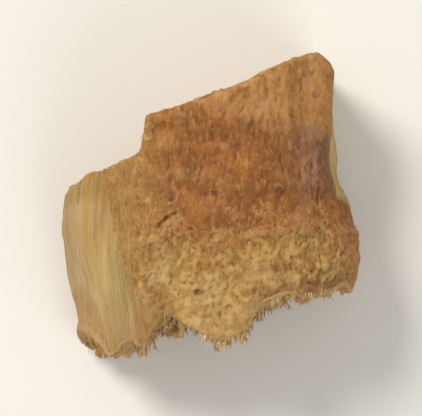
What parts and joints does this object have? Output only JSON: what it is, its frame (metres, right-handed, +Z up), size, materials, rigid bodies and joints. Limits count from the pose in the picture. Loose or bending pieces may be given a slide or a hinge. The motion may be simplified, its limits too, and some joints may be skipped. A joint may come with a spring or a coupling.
{
  "type": "dried galangal root chunk",
  "caption": "Dried chunk of galangal root, split lengthwise: rind on top, pale knife-cut flank, one clean end and one torn fibrous end.",
  "frame": {"origin": "centre of the bounding box in plan, at the level of the flat split face that the chunk rests on", "axes": "+Z up through the rind, +Y along the grain towards the knife-cut far end, the torn end at -Y, the pale cut flank at -X"},
  "size_m": [0.0158, 0.0158, 0.009],
  "materials": {
    "dried_root": "dry, matt, fibrous"
  },
  "bodies": {
    "root": {"root_chunk": "dried_root"}
  },
  "joints": []
}
